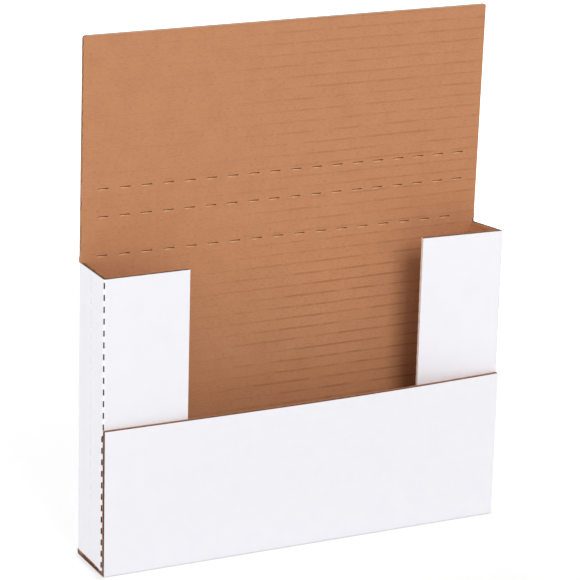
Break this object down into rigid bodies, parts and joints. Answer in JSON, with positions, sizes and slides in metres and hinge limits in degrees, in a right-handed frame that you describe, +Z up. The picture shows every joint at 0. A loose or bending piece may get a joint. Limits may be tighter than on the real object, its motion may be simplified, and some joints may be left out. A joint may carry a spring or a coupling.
{
  "type": "corrugated cardboard mailer",
  "caption": "Shallow one-piece corrugated mailer, white outside and kraft inside, standing open with its lid raised, side flaps tucked and front flap up.",
  "frame": {"origin": "on the ground under the middle of the box, centred between its side walls and between its back face and front flap", "axes": "+Z up along the raised lid, +X along the width, and the front flap faces -Y"},
  "size_m": [0.25, 0.039, 0.3028],
  "materials": {
    "white_board": "matt bleached paper face on corrugated board, with brown raw edges",
    "kraft_board": "matt brown kraft paper face on corrugated board"
  },
  "bodies": {
    "box": {"box": "white_board"},
    "lid_panel": {"lid_panel": "kraft_board"},
    "lid_cover": {"lid_cover": "kraft_board"},
    "front_flap": {"front_flap": "white_board"}
  },
  "joints": [
    {"name": "lid_fold", "type": "hinge", "parent": "box", "child": "lid_panel", "pos_m": [0, 0.0166, 0.1772], "axis": [1, 0, 0], "range_deg": [0, 88.9]},
    {"name": "cover_fold", "type": "hinge", "parent": "lid_panel", "child": "lid_cover", "pos_m": [0, 0.01586, 0.21579], "axis": [1, 0, 0], "range_deg": [0, 90]},
    {"name": "front_flap_fold", "type": "hinge", "parent": "box", "child": "front_flap", "pos_m": [0, -0.0195, 0], "axis": [1, 0, 0], "range_deg": [0, 90]}
  ]
}
